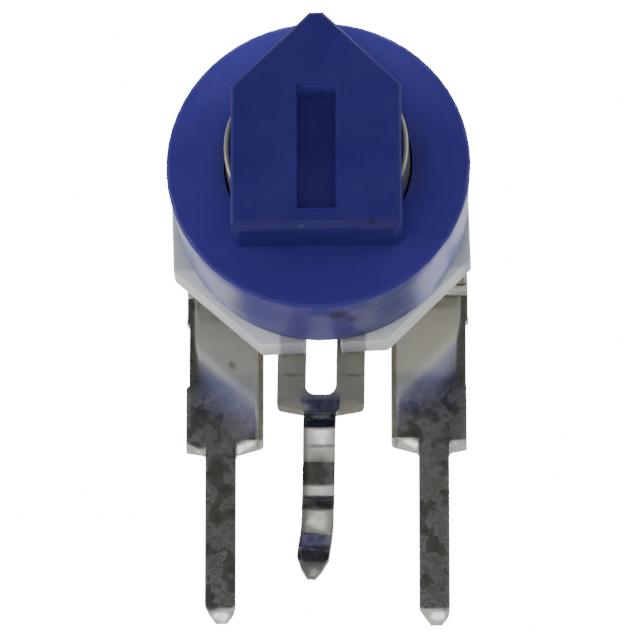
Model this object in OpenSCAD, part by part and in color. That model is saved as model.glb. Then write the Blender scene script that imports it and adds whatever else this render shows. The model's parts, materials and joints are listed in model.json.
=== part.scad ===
// Open-frame single-turn trimmer potentiometer, adjusted from the side, with three leads for a
// printed board. A blue moulded rotor with a raised arrow turns in front of a ceramic plate.
// Frame: the board's surface is z = 0 and the outer pins stand on y = 0. The knob faces -Y, up is +Z.

/* [Board layout] */
// Height of the turning axis above the board
axis_h = 5.11; // [4.6:0.01:6]
// Distance between the two outer pins
pin_pitch = 5; // [4.8:0.02:5.4]
// Distance from the outer pins forward to the wiper pin
wiper_pin_offset = 2.5; // [2.4:0.02:2.7]
// Clear distance from the outer blades forward to the ceramic plate
stand_off = 2.05; // [2:0.05:2.6]
// Thickness of the terminals' sheet
sheet_t = 0.3; // [0.25:0.01:0.34]

/* [Rotor] */
// Diameter of the rotor disc at its front
disc_d = 7.02; // [6.9:0.02:7.6]
// Width by which the disc is narrower at its back, all round
disc_draft = 0.11; // [0:0.01:0.15]
// Thickness of the rotor disc
disc_t = 2.6; // [2.1:0.05:2.8]
// Radius of the disc's front edge
disc_edge_r = 0.1; // [0.05:0.01:0.3]
// Gap between the rotor and the ceramic plate
rotor_gap = 0.16; // [0.14:0.01:0.25]
// Inset of the arrow's sides from the inner faces of the carrier's two ears
arrow_inset = 0.02; // [0.01:0.005:0.1]
// Height of the arrow above the disc
arrow_t = 1.28; // [1.1:0.02:1.6]
// Distance from the axis down to the arrow's foot
arrow_foot = 2.02; // [1.8:0.02:2.3]
// Distance from the axis up to the arrow's shoulders
arrow_shoulder = 1.47; // [1.3:0.01:1.6]
// Radius of the arrow's two lower corners
arrow_corner_r = 0.22; // [0.1:0.01:0.3]
// Width of the arrow's blunt tip
arrow_tip_w = 0.32; // [0.22:0.01:0.5]
// Radius of the arrow's front edges
arrow_edge_r = 0.1; // [0.05:0.01:0.15]
// Radius of the front edge along the arrow's foot
arrow_foot_r = 0.24; // [0.1:0.01:0.3]
// Width of the screwdriver slot
slot_w = 0.9; // [0.6:0.02:1.1]
// Length of the screwdriver slot
slot_l = 3.02; // [2.4:0.02:3.1]
// Distance from the axis down to the slot's middle
slot_drop = 0.04; // [0:0.01:0.08]
// Depth of the screwdriver slot
slot_depth = 0.9; // [0.6:0.02:1.1]
// Thickness of the skirt around the rotor's back
skirt_wall = 0.45; // [0.35:0.01:0.5]
// Width of the channel that the stop tab runs in
channel_w = 0.55; // [0.5:0.01:0.6]
// Depth of that channel, from the rotor's back
channel_depth = 0.7; // [0.6:0.02:0.9]
// Turn from the middle to either stop, in degrees
travel = 120; // [100:1:130]

/* [Hub and wiper] */
// Wall of moulding between the metal carrier and the channel
carrier_wall = 0.385; // [0.36:0.005:0.42]
// Thickness of the carrier's sheet
carrier_t = 0.14; // [0.1:0.01:0.16]
// Width of each of the carrier's two ears
ear_w = 2.2; // [2:0.05:2.6]
// Open gap around each ear where it comes out of the disc
ear_gap = 0.05; // [0.03:0.01:0.12]
// Depth of the ears' front edge under the arrow's face
ear_set_back = 0.08; // [0.05:0.01:0.15]
// Distance from the ceramic plate to the carrier's floor
carrier_stand_off = 0.45; // [0.4:0.01:0.55]
// Diameter of the rivet's shank
shank_d = 1.2; // [1:0.02:1.3]
// Radial clearance of the carrier on the shank
turning_clearance = 0.05; // [0.03:0.01:0.08]
// Diameter of the rivet's head inside the rotor
head_d = 2; // [1.8:0.05:2.2]
// Thickness of that head
head_t = 0.28; // [0.2:0.01:0.35]
// Diameter of the rivet's rolled end on the back
roll_d = 1.7; // [1.6:0.05:1.9]
// Height of the rolled end
roll_t = 0.26; // [0.2:0.01:0.32]
// Diameter of the hollow in the rolled end
roll_bore_d = 0.66; // [0.5:0.02:0.7]
// Thickness of the wiper's spring sheet
spring_t = 0.1; // [0.08:0.01:0.12]
// Width of each contact finger
finger_w = 0.24; // [0.18:0.01:0.26]
// Distance between two contact fingers
finger_pitch = 0.34; // [0.32:0.01:0.36]
// Number of contact fingers
finger_count = 3; // [1:1:3]

/* [Ceramic plate] */
// Width of the plate, which is also the diameter of its round top
plate_w = 6.92; // [6.8:0.02:7.4]
// Thickness of the plate
plate_t = 0.7; // [0.64:0.02:1.1]
// Distance from the axis down to the plate's lower edge
plate_drop = 3.42; // [3.4:0.01:3.7]
// Width of the lower edge between its two chamfers
plate_foot_w = 2.9; // [2.6:0.05:3.3]
// Distance from the axis down to the top of the chamfers
plate_chamfer_drop = 1.5; // [1.3:0.05:1.7]
// Turn of the plate's outline on the rivet, in degrees
plate_turn = 1.7; // [0:0.1:2]
// Shift of that outline to the left
plate_shift = 0.06; // [0:0.01:0.08]
// Thickness of the printed films
film_t = 0.04; // [0.03:0.01:0.05]
// Radius at the middle of the resistive track
track_r = 1.75; // [1.7:0.01:1.8]
// Width of the resistive track
track_w = 0.6; // [0.5:0.02:0.66]
// Angle from the top to either end of the track, in degrees
track_half_angle = 105; // [95:1:108]
// Angle that each end pad covers, in degrees
pad_angle = 30; // [24:1:34]
// Width of the ring of film where an end pad meets its terminal
pad_reach = 0.9; // [0.8:0.02:1]

/* [Outer terminals] */
// Width of the pins
pin_w = 0.71; // [0.6:0.01:0.75]
// Length of the left pin under the board's surface
left_pin_l = 4.17; // [3.5:0.01:5]
// Length of the right pin under the board's surface
right_pin_l = 4.27; // [3.5:0.01:5]
// Length of a pin's tapered end
pin_taper_l = 0.42; // [0.3:0.01:0.6]
// Width of a pin's blunt tip
pin_tip_w = 0.26; // [0.15:0.01:0.35]
// Shift of the left pin's tip towards the middle
left_tip_shift = 0.03; // [0:0.01:0.06]
// Shift of the right pin's tip outwards
right_tip_shift = 0.04; // [0:0.01:0.06]
// Radius between a pin and its blade
pin_fillet_r = 0.1; // [0.05:0.01:0.12]
// Reach of a blade from its pin towards the middle
blade_inner = 1; // [0.9:0.01:1.1]
// Reach of the left blade from its pin outwards
left_blade_outer = 0.81; // [0.7:0.01:0.86]
// Reach of the right blade from its pin outwards
right_blade_outer = 0.77; // [0.7:0.01:0.86]
// Width of the ledge in the left blade's outer edge
left_ledge_w = 0.07; // [0.01:0.01:0.1]
// Width of the ledge in the right blade's outer edge
right_ledge_w = 0.01; // [0.01:0.01:0.1]
// Height of the ledges above the board
ledge_h = 1.58; // [1.2:0.02:2]
// Distance from the web down to the burr on a blade's outer edge
burr_drop = 0.94; // [0.7:0.01:1.1]
// Reach of that burr
burr_reach = 0.07; // [0.04:0.01:0.1]
// Width by which a blade is wider over the burr
blade_top_w = 0.05; // [0.02:0.01:0.06]
// Radius of a blade's inner lower corner
blade_corner_r = 0.1; // [0.06:0.01:0.4]
// Height of the inner corner over the shoulder at the pin
inner_rise = 0.13; // [0.1:0.01:0.25]
// Height of the outer corner over the shoulder at the pin
outer_rise = 0.06; // [0.02:0.01:0.12]
// Height of the rolled lower edge of a blade
edge_roll_h = 0.26; // [0.15:0.01:0.35]
// Distance from the axis down to the web that joins a blade to the plate
web_drop = 0.95; // [0.85:0.01:1.1]
// Distance from a pin's middle inwards to the middle of its stake
stake_offset = 0.14; // [0.1:0.01:0.2]
// Width of the stake that goes through the plate
stake_w = 0.7; // [0.6:0.01:0.74]
// Diameter of the solder around a stake
solder_d = 0.88; // [0.86:0.01:0.94]

/* [Wiper terminal] */
// Width of the terminal's flat part
fork_w = 2.03; // [1.9:0.01:2.1]
// Width of its window
window_w = 0.71; // [0.68:0.01:0.8]
// Height of the window's lower edge above the board
window_h = 0.69; // [0.6:0.01:0.75]
// Radius of the window's corners
window_corner_r = 0.23; // [0.1:0.01:0.28]
// Height of the fork's outer lower corners above the board
fork_h = 0.35; // [0.25:0.01:0.38]
// Fall of the fork's lower edge towards the pin
fork_fall = 0.1; // [0.05:0.01:0.15]
// Radius of the fork's lower corners
fork_corner_r = 0.12; // [0.08:0.01:0.16]
// Width of the kinked pin
kink_w = 0.74; // [0.65:0.01:0.78]
// Width of the shoulder on each side of its neck
neck_shoulder = 0.09; // [0.05:0.01:0.12]
// Length of the kinked pin under the board's surface
kink_l = 3.91; // [3.8:0.01:4.6]
// Turn of the terminal on its rivet, in degrees
fork_turn = 1; // [0:0.1:1.5]
// Sideways lean of the pin's lower half, in degrees
kink_lean = 5.2; // [0:0.1:6]

/* [Hidden] */
$fn = 96;
eps = 0.01;
blue = [0.16, 0.21, 0.48];
steel = [0.62, 0.62, 0.6];
tin = [0.6, 0.6, 0.58];
bronze = [0.72, 0.55, 0.32];
ceramic = [0.9, 0.91, 0.9];
film_black = [0.09, 0.09, 0.1];
film_silver = [0.78, 0.78, 0.76];
solder_grey = [0.7, 0.7, 0.7];
// Clearance of a rivet or a stake in its hole
hole_clearance = 0.02;
// Clearance on each side of the stop tab in the window that it is cut from
shear_gap = 0.04;
// Clearance around the stop tab in the plate's notch and in the rotor's channel
tab_clearance = 0.1;
// Clearance at the end of the stop tab and over the rivet's head
end_clearance = 0.15;
// Clearance between the top of the plate's notch and the stop tab
notch_clearance = 0.17;
// Clearance between the top of the solder and the back of the rotor's skirt
solder_clearance = 0.02;
// Clearance between the solder and the stop lug
lug_clearance = 0.11;
// Depth of the rotor's back inside the channel
recess_depth = 0.3;
// Gap between the contact fingers and the track
contact_gap = 0.03;
// Clearance of the wiper's collar around the rivet's shank, and inside the track
collar_clearance = 0.15;
// Length of a contact finger that lies flat on the collar
finger_root = 0.25;
// Distance from a finger's free end to the outer edge of the track
finger_end = 0.08;
// Chamfer of the rivet's head
head_chamfer = 0.06;
// The solder's rounded shape: shares of its radius and of its height
solder_curve = [[0.86, 0.45], [0.55, 0.88], [0, 1]];
// Where a pin's taper turns: the share of its half width, and of its length
taper_turn = [0.8, 0.55];
// Turn that is left between the stop lug and the tab at either limit, in degrees
stop_play = 0.6;

blade_front_y = -sheet_t / 2;
plate_back_y = blade_front_y - stand_off;
plate_front_y = plate_back_y - plate_t;
film_y = plate_front_y - film_t;
solder_h = rotor_gap - film_t - solder_clearance;
disc_back_y = plate_front_y - rotor_gap;
disc_front_y = disc_back_y - disc_t;
arrow_face_y = disc_front_y - arrow_t;
carrier_back_y = plate_front_y - carrier_stand_off;
carrier_floor_y = carrier_back_y - carrier_t;
ear_front_y = arrow_face_y + ear_set_back;
head_back_y = carrier_floor_y - hole_clearance;
head_front_y = head_back_y - head_t;
fork_mid_y = plate_back_y + sheet_t / 2;
fork_back_y = plate_back_y + sheet_t;
roll_back_y = fork_back_y + roll_t;

disc_r = disc_d / 2;
channel_outer_r = disc_r - skirt_wall;
channel_inner_r = channel_outer_r - channel_w;
carrier_r = channel_inner_r - carrier_wall;
ear_inner_r = carrier_r - carrier_t;
arrow_w = 2 * (ear_inner_r - arrow_inset);
shank_r = shank_d / 2;
channel_y = disc_back_y - channel_depth;
recess_y = disc_back_y - recess_depth;
lug_back_y = film_y - solder_h - lug_clearance;

tab_w = window_w - 2 * shear_gap;
tab_r = (channel_inner_r + channel_outer_r) / 2;
tab_z = axis_h - tab_r;
tab_front_y = channel_y + 2 * end_clearance;
notch_w = tab_w + 2 * tab_clearance;
notch_top_r = tab_r - sheet_t / 2 - notch_clearance;
lug_half_angle = 180 - travel - asin(tab_w / 2 / channel_inner_r) - stop_play;

track_inner_r = track_r - track_w / 2;
track_outer_r = track_r + track_w / 2;
pad_outer_r = track_outer_r + pad_reach;
pin_x = pin_pitch / 2;
blade_inner_x = pin_x - blade_inner;
stake_x = pin_x - stake_offset;
stake_front_y = film_y - solder_h / 2;
web_z = axis_h - web_drop;

// The kinked pin's middle line under the board: how far behind the pin's place, and how far down,
// as a share of the pin's length
kinks = [[0.3, -0.026], [-0.06, 0.051], [0.06, 0.148], [0.17, 0.269], [0.11, 0.413], [0.2, 0.493],
    [0, 0.555], [0.21, 0.72], [-0.05, 0.843], [-0.11, 0.905], [-0.03, 1]];
// Place in that list after which the pin leans sideways
lean_after = 6;
// The pin's rounded tip: shares of its half width and of its length
kink_tip = [[1, 0.88], [0.66, 0.95], [0.26, 1]];
// Middle radius of the pin's kinks, and of the folds in the terminals
kink_r = 0.2;
fold_r = 0.36;
// Largest turn between two points of a bend, in degrees
bend_step = 9;

function unit(v) = v / norm(v);
// The points of a bend of radius r at b, on the way from a to c
function bend(a, b, c, r) = let (u = unit(a - b), w = unit(c - b), half = acos(u * w) / 2,
    centre = b + unit(u + w) * r / sin(half), from = b + u * r / tan(half) - centre,
    to = b + w * r / tan(half) - centre, start = atan2(from[1], from[0]),
    sweep = (atan2(to[1], to[0]) - start + 540) % 360 - 180, steps = ceil(abs(sweep) / bend_step))
    arc(centre, r, start, start + sweep, steps);
function arc(centre, r, from, to, steps) = [for (k = [0:steps])
    centre + r * [cos(from + (to - from) * k / steps), sin(from + (to - from) * k / steps)]];
// A path with a bend of radius r at each of its inner corners
function bent(p, r) = concat([p[0]],
    [for (i = [1:len(p) - 2]) each bend(p[i - 1], p[i], p[i + 1], r)], [p[len(p) - 1]]);
function tangent(p, i) = unit(p[min(i + 1, len(p) - 1)] - p[max(i - 1, 0)]);
function beside(p, i, d) = p[i] + d * [-tangent(p, i)[1], tangent(p, i)[0]];
// The outline of a sheet of thickness t that follows a path
function sheet_outline(p, t) = concat([for (i = [0:len(p) - 1]) beside(p, i, t / 2)],
    [for (i = [len(p) - 1:-1:0]) beside(p, i, -t / 2)]);

// A flat shape in X and Z, thick from y0 to y1
module slab(y0, y1) {
    translate([0, y1, 0])
        rotate([90, 0, 0])
            linear_extrude(y1 - y0) children();
}

// A flat shape in Y and Z, thick from x0 to x1
module side_slab(x0, x1) {
    translate([x0, 0, 0])
        rotate([90, 0, 90])
            linear_extrude(x1 - x0) children();
}

// A flat shape around the turning axis, thick from y0 to y1
module hub_slab(y0, y1) {
    translate([0, 0, axis_h]) slab(y0, y1) children();
}

// A profile in radius and Y, turned around the axis
module turned() {
    translate([0, 0, axis_h])
        rotate([-90, 0, 0])
            rotate_extrude() children();
}

module tube(r_in, r_out, y0, y1) {
    turned() translate([r_in, y0]) square([r_out - r_in, y1 - y0]);
}

// Keeps what lies level with the axis, at the carrier's two ears
module at_ears(gap = 0) {
    intersection() {
        children();
        hub_slab(arrow_face_y - eps, plate_front_y)
            square([2 * disc_d, ear_w + 2 * gap], center = true);
    }
}

// A part of a ring, between two angles from the top
module sector(r_in, r_out, from, to) {
    steps = ceil((to - from) / 30);
    intersection() {
        difference() {
            circle(r_out);
            circle(r_in);
        }
        polygon(concat([[0, 0]], [for (k = [0:steps])
            2 * r_out * [sin(from + (to - from) * k / steps), cos(from + (to - from) * k / steps)]]));
    }
}

module disc_blank() {
    turned()
        polygon(concat([[0, disc_front_y]],
            arc([disc_r - disc_edge_r, disc_front_y + disc_edge_r], disc_edge_r, -90, 0, 5),
            [[disc_r - disc_draft, disc_back_y], [0, disc_back_y]]));
}

module arrow_outline() {
    half = arrow_w / 2;
    tip_z = arrow_shoulder + half - arrow_tip_w / 2;
    polygon(concat(
        arc([-half + arrow_corner_r, -arrow_foot + arrow_corner_r], arrow_corner_r, 180, 270, 5),
        arc([half - arrow_corner_r, -arrow_foot + arrow_corner_r], arrow_corner_r, -90, 0, 5),
        [[half, arrow_shoulder], [arrow_tip_w / 2, tip_z], [-arrow_tip_w / 2, tip_z],
            [-half, arrow_shoulder]]));
}

// What is cut from a front edge of the arrow to round it: the edge lies at x and z from the axis,
// and its outer side points up, turned by an angle
module rounding(x, z, angle, r) {
    translate([x, arrow_face_y, axis_h + z])
        rotate([0, angle, 0])
            side_slab(-arrow_w, arrow_w)
                difference() {
                    translate([-eps, -r]) square(r + eps);
                    translate([r, -r]) circle(r);
                }
}

// The raised arrow, with bulges where it fills the carrier's ears
module arrow() {
    half = arrow_w / 2;
    slope = (half - arrow_tip_w / 2) / 2;
    difference() {
        hub_slab(arrow_face_y, disc_front_y + eps) arrow_outline();
        rounding(0, -arrow_foot, 180, arrow_foot_r);
        rounding(0, arrow_shoulder + 2 * slope, 0, arrow_edge_r);
        for (side = [-1, 1]) {
            rounding(side * half, 0, side * 90, arrow_edge_r);
            rounding(side * (half - slope), arrow_shoulder + slope, side * 45, arrow_edge_r);
        }
    }
    at_ears() tube(0, ear_inner_r, arrow_face_y + arrow_edge_r, disc_front_y + eps);
}

module rotor_knob() {
    color(blue) {
        difference() {
            union() {
                disc_blank();
                arrow();
            }
            hub_slab(arrow_face_y - eps, arrow_face_y + slot_depth)
                translate([0, -slot_drop]) square([slot_w, slot_l], center = true);
            at_ears() tube(ear_inner_r, carrier_r, ear_front_y, carrier_floor_y + eps);
            at_ears(ear_gap)
                tube(carrier_r - carrier_t / 2, carrier_r + ear_gap, disc_front_y - eps, carrier_floor_y);
            tube(0, carrier_r, carrier_floor_y, disc_back_y + eps);
            tube(0, head_d / 2 + end_clearance, head_front_y - end_clearance, carrier_floor_y + eps);
            tube(carrier_r - eps, channel_inner_r + eps, recess_y, disc_back_y + eps);
            tube(channel_inner_r, channel_outer_r, channel_y, disc_back_y + eps);
        }
        hub_slab(channel_y - eps, lug_back_y)
            sector(channel_inner_r - eps, channel_outer_r + eps, -lug_half_angle, lug_half_angle);
    }
}

// A stamped disc with two curved ears, which show beside the arrow
module wiper_carrier() {
    color(steel) {
        tube(shank_r + turning_clearance, carrier_r, carrier_floor_y, carrier_back_y);
        at_ears()
            turned()
                polygon(concat([[ear_inner_r, carrier_back_y], [carrier_r, carrier_back_y]],
                    arc([carrier_r - carrier_t / 2, ear_front_y + carrier_t / 2], carrier_t / 2,
                        0, -180, 8)));
    }
}

module wiper_spring() {
    collar_r = track_inner_r - collar_clearance;
    start_y = carrier_back_y + spring_t / 2;
    tip_y = film_y - contact_gap - spring_t / 2;
    finger = bent([[start_y, collar_r - finger_root], [start_y, collar_r],
        [tip_y, track_r], [start_y + spring_t, track_outer_r - finger_end]], spring_t);
    color(bronze) {
        tube(shank_r + collar_clearance, collar_r, carrier_back_y, carrier_back_y + spring_t);
        for (i = [0:finger_count - 1])
            translate([(i - (finger_count - 1) / 2) * finger_pitch, 0, axis_h])
                side_slab(-finger_w / 2, finger_w / 2)
                    polygon(sheet_outline(finger, spring_t));
    }
}

// A flat rivet: its head holds the carrier, and its end is rolled over the wiper terminal
module hub_rivet() {
    roll_r = roll_d / 2;
    bore_r = roll_bore_d / 2;
    lip = (roll_r - bore_r) / 2;
    crest = [for (p = arc([roll_r - lip, 0], lip, 0, 180, 10)) [p[0], roll_back_y - lip / 2 + p[1] / 2]];
    color(steel)
        turned()
            polygon(concat([[0, head_front_y], [head_d / 2 - head_chamfer, head_front_y],
                [head_d / 2, head_front_y + head_chamfer], [head_d / 2, head_back_y],
                [shank_r, head_back_y], [shank_r, fork_back_y], [roll_r, fork_back_y]], crest,
                [[bore_r, plate_back_y - plate_t / 2], [0, plate_back_y - plate_t / 2 - bore_r]]));
}

module stake_hole() {
    translate([stake_x, -web_drop])
        square([stake_w + 2 * hole_clearance, sheet_t + 2 * hole_clearance], center = true);
}

module ceramic_plate() {
    half = plate_w / 2;
    color(ceramic)
        hub_slab(plate_front_y, plate_back_y)
            difference() {
                translate([-plate_shift, 0])
                    rotate(plate_turn)
                        union() {
                            circle(half);
                            polygon([[-half, 0], [-half, -plate_chamfer_drop],
                                [-plate_foot_w / 2, -plate_drop], [plate_foot_w / 2, -plate_drop],
                                [half, -plate_chamfer_drop], [half, 0]]);
                        }
                circle(shank_r + hole_clearance);
                translate([-notch_w / 2, -plate_drop - sheet_t])
                    square([notch_w, plate_drop + sheet_t - notch_top_r]);
                stake_hole();
                mirror([1, 0]) stake_hole();
            }
}

module resistive_track() {
    color(film_black)
        hub_slab(film_y, plate_front_y)
            sector(track_inner_r, track_outer_r, -track_half_angle, track_half_angle);
}

module right_end_pad() {
    color(film_silver)
        hub_slab(film_y, plate_front_y)
            difference() {
                sector(track_inner_r, pad_outer_r, track_half_angle, track_half_angle + pad_angle);
                stake_hole();
            }
}

module left_end_pad() {
    mirror([1, 0, 0]) right_end_pad();
}

module right_solder() {
    r = solder_d / 2;
    color(solder_grey)
        difference() {
            translate([stake_x, 0, web_z])
                rotate([-90, 0, 0])
                    rotate_extrude()
                        polygon(concat([[0, film_y], [r, film_y]],
                            [for (p = solder_curve) [r * p[0], film_y - solder_h * p[1]]]));
            translate([stake_x - stake_w / 2, stake_front_y, web_z - sheet_t / 2])
                cube([stake_w, plate_front_y - stake_front_y, sheet_t]);
        }
}

module left_solder() {
    mirror([1, 0, 0]) right_solder();
}

// The blade and the pin seen from the front: how far the blade reaches outwards, the width of its
// ledge, the length of its pin and the shift of the pin's tip
module blade_outline(outer, ledge, length, shift) {
    half = pin_w / 2;
    outer_x = pin_x + outer;
    upper_x = outer_x - ledge;
    top_x = upper_x + blade_top_w;
    burr_z = web_z - burr_drop;
    top = web_z + sheet_t / 2;
    tip_x = pin_x + shift;
    taper_x = half * taper_turn[0];
    taper_z = -length + pin_taper_l * taper_turn[1];
    fillet_x = half + pin_fillet_r;
    polygon(concat(
        [[tip_x - pin_tip_w / 2, -length], [tip_x + pin_tip_w / 2, -length],
            [tip_x + taper_x, taper_z], [pin_x + half, -length + pin_taper_l]],
        arc([pin_x + fillet_x, -pin_fillet_r], pin_fillet_r, 180, 90, 4),
        [[outer_x, outer_rise], [outer_x, ledge_h], [upper_x, ledge_h + ledge],
            [upper_x, burr_z - burr_reach], [upper_x + burr_reach, burr_z],
            [top_x, burr_z + burr_reach], [top_x, top], [blade_inner_x, top]],
        arc([blade_inner_x + blade_corner_r, inner_rise + blade_corner_r], blade_corner_r, 180, 250, 5),
        arc([pin_x - fillet_x, -pin_fillet_r], pin_fillet_r, 90, 0, 4),
        [[pin_x - half, -length + pin_taper_l], [tip_x - taper_x, taper_z]]));
}

// A slanted cut along the front of an edge that runs in X
module edge_cut(x0, x1, z, h, depth) {
    side_slab(x0, x1)
        polygon([[blade_front_y - eps, z - 2 * h], [blade_front_y - eps, z + h + eps],
            [blade_front_y, z + h], [blade_front_y + depth, z], [blade_front_y + depth, z - 2 * h]]);
}

// One stamped and folded sheet: pin, blade, web and the stake that goes through the plate
module terminal(outer, ledge, length, shift) {
    outer_x = pin_x + outer + burr_reach;
    reach = length + sheet_t;
    fold = bent([[0, -reach], [0, web_z], [stake_front_y, web_z]], fold_r);
    tip_cut = sheet_t * 0.35;
    color(tin)
        difference() {
            intersection() {
                side_slab(blade_inner_x, outer_x) polygon(sheet_outline(fold, sheet_t));
                slab(stake_front_y - eps, sheet_t) blade_outline(outer, ledge, length, shift);
                translate([0, 0, -reach])
                    linear_extrude(reach + axis_h)
                        union() {
                            translate([blade_inner_x, plate_back_y])
                                square([outer_x - blade_inner_x, sheet_t - plate_back_y]);
                            translate([stake_x - stake_w / 2, stake_front_y])
                                square([stake_w, plate_back_y - stake_front_y + eps]);
                        }
            }
            edge_cut(blade_inner_x - eps, pin_x - pin_w / 2, 0, edge_roll_h + inner_rise / 2, sheet_t / 2);
            edge_cut(pin_x + pin_w / 2, outer_x + eps, 0, edge_roll_h, sheet_t / 2);
            edge_cut(pin_x - pin_w, pin_x + pin_w, -length, pin_taper_l, tip_cut);
            mirror([0, 1, 0]) edge_cut(pin_x - pin_w, pin_x + pin_w, -length, pin_taper_l, tip_cut);
        }
}

module right_terminal() {
    terminal(right_blade_outer, right_ledge_w, right_pin_l, right_tip_shift);
}

module left_terminal() {
    mirror([1, 0, 0]) terminal(left_blade_outer, left_ledge_w, left_pin_l, -left_tip_shift);
}

// The flat part of the wiper terminal: an eye on the rivet, and two legs beside the window
module fork_outline() {
    half = fork_w / 2;
    neck = kink_w / 2;
    inner_z = fork_h - fork_fall;
    crossbar_z = window_h - sheet_t / 5;
    difference() {
        union() {
            translate([0, axis_h]) circle(half);
            polygon(concat([[half, axis_h], [-half, axis_h]],
                arc([-half + fork_corner_r, fork_h + fork_corner_r], fork_corner_r, 180, 265, 4),
                [[-neck, inner_z], [-neck, crossbar_z], [neck, crossbar_z], [neck, inner_z]],
                arc([half - fork_corner_r, fork_h + fork_corner_r], fork_corner_r, 275, 360, 4)));
        }
        translate([0, axis_h]) circle(shank_r + hole_clearance);
        polygon(concat(
            arc([-window_w / 2 + window_corner_r, window_h + window_corner_r], window_corner_r, 180, 270, 5),
            arc([window_w / 2 - window_corner_r, window_h + window_corner_r], window_corner_r, 270, 360, 5),
            [[window_w / 2, tab_z + sheet_t], [-window_w / 2, tab_z + sheet_t]]));
    }
}

// The kinked pin seen from the front, down to its rounded tip
module kink_outline() {
    half = kink_w / 2;
    wide = half + neck_shoulder;
    wide_z = fork_h - fork_fall / 2;
    neck_z = wide_z - neck_shoulder;
    polygon(concat([[-wide, window_h], [-wide, wide_z], [-half, neck_z]],
        [for (p = kink_tip) [-half * p[0], -kink_l * p[1]]],
        [for (i = [len(kink_tip) - 1:-1:0]) [half * kink_tip[i][0], -kink_l * kink_tip[i][1]]],
        [[half, neck_z], [wide, wide_z], [wide, window_h]]));
}

module kink_strip(points) {
    intersection() {
        side_slab(-kink_w, kink_w)
            polygon(sheet_outline(bent(points, kink_r), sheet_t));
        slab(-2 * wiper_pin_offset, 0) kink_outline();
    }
}

module wiper_terminal() {
    line = [for (k = kinks) [-wiper_pin_offset + k[0], -k[1] * kink_l]];
    half_way = (line[lean_after] + line[lean_after + 1]) / 2;
    lap = unit(line[lean_after + 1] - line[lean_after]) * sheet_t / 6;
    neck_top = window_h + sheet_t / 10;
    upper = concat([[fork_mid_y, neck_top + sheet_t], [fork_mid_y, neck_top]],
        [for (i = [0:lean_after]) line[i]], [half_way + lap]);
    lower = concat([half_way - lap], [for (i = [lean_after + 1:len(line) - 2]) line[i]],
        [line[len(line) - 1] - [0, sheet_t]]);
    tab = bent([[fork_mid_y, tab_z + 3 * sheet_t], [fork_mid_y, tab_z], [tab_front_y, tab_z]],
        sheet_t * 0.8);
    color(tin)
        translate([0, 0, axis_h])
            rotate([0, fork_turn, 0])
                translate([0, 0, -axis_h]) {
                    slab(plate_back_y, fork_back_y) fork_outline();
                    side_slab(-tab_w / 2, tab_w / 2) polygon(sheet_outline(tab, sheet_t));
                    kink_strip(upper);
                    translate([0, 0, half_way[1]])
                        rotate([0, kink_lean, 0])
                            translate([0, 0, -half_way[1]])
                                kink_strip(lower);
                }
}

rotor_knob();
wiper_carrier();
wiper_spring();
hub_rivet();
ceramic_plate();
resistive_track();
left_end_pad();
right_end_pad();
left_solder();
right_solder();
left_terminal();
right_terminal();
wiper_terminal();
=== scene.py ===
# %% [markdown]
# # A trimmer potentiometer for a printed board
# A blue moulded knob turns in front of a white ceramic plate, and three thin metal leads carry the
# plate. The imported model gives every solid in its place. This lesson photographs it in a white
# studio and gives each surface the finish of the real one.

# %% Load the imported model
import json
from math import cos, radians, sin

import bpy
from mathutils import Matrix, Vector

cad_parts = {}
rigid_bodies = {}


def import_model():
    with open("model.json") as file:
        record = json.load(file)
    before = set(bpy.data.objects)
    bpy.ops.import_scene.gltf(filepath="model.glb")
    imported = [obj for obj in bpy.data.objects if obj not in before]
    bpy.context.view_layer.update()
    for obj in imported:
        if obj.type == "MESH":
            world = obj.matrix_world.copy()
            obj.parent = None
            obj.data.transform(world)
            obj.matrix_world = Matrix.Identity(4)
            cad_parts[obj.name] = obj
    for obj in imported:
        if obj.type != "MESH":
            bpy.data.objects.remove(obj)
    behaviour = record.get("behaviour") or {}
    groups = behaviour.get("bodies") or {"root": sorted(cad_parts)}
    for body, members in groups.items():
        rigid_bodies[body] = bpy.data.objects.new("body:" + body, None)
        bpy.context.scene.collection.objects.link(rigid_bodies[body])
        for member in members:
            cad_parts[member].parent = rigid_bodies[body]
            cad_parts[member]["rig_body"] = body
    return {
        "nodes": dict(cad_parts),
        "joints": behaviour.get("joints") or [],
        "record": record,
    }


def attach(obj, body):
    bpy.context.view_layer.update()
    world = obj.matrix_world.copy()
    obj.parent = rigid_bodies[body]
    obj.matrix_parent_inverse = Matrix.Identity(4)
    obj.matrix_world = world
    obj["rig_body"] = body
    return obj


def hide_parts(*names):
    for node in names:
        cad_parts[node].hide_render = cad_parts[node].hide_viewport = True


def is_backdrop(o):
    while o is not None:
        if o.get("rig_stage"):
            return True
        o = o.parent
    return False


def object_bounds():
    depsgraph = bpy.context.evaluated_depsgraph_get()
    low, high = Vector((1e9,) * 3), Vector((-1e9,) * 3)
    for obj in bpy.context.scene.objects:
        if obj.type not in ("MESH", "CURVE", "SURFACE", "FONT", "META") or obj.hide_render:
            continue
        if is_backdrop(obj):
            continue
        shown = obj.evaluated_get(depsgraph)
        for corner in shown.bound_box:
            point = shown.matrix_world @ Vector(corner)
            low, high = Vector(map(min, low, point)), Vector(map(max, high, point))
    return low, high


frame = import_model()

MM = 0.001
cad_low, cad_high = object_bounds()
size_mm = (cad_high - cad_low) / MM
print("solids:", len(frame["nodes"]), "size in mm:", [round(v, 2) for v in size_mm])


# %% [markdown]
# ## The camera
# The photograph looks up at the part from a little below the knob, from far away through a long
# lens, so parallel edges stay parallel. A camera without perspective would show them so too, but
# a long lens at 0.2 m keeps the last trace of it: its sensor covers 14.86 mm at the part.

# %% Set up the camera
def clear_selection():
    if bpy.context.object and bpy.context.object.mode != "OBJECT":
        bpy.ops.object.mode_set(mode="OBJECT")
    bpy.ops.object.select_all(action="DESELECT")


def mm(x, y, z):
    return Vector((x, y, z)) * MM


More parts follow.
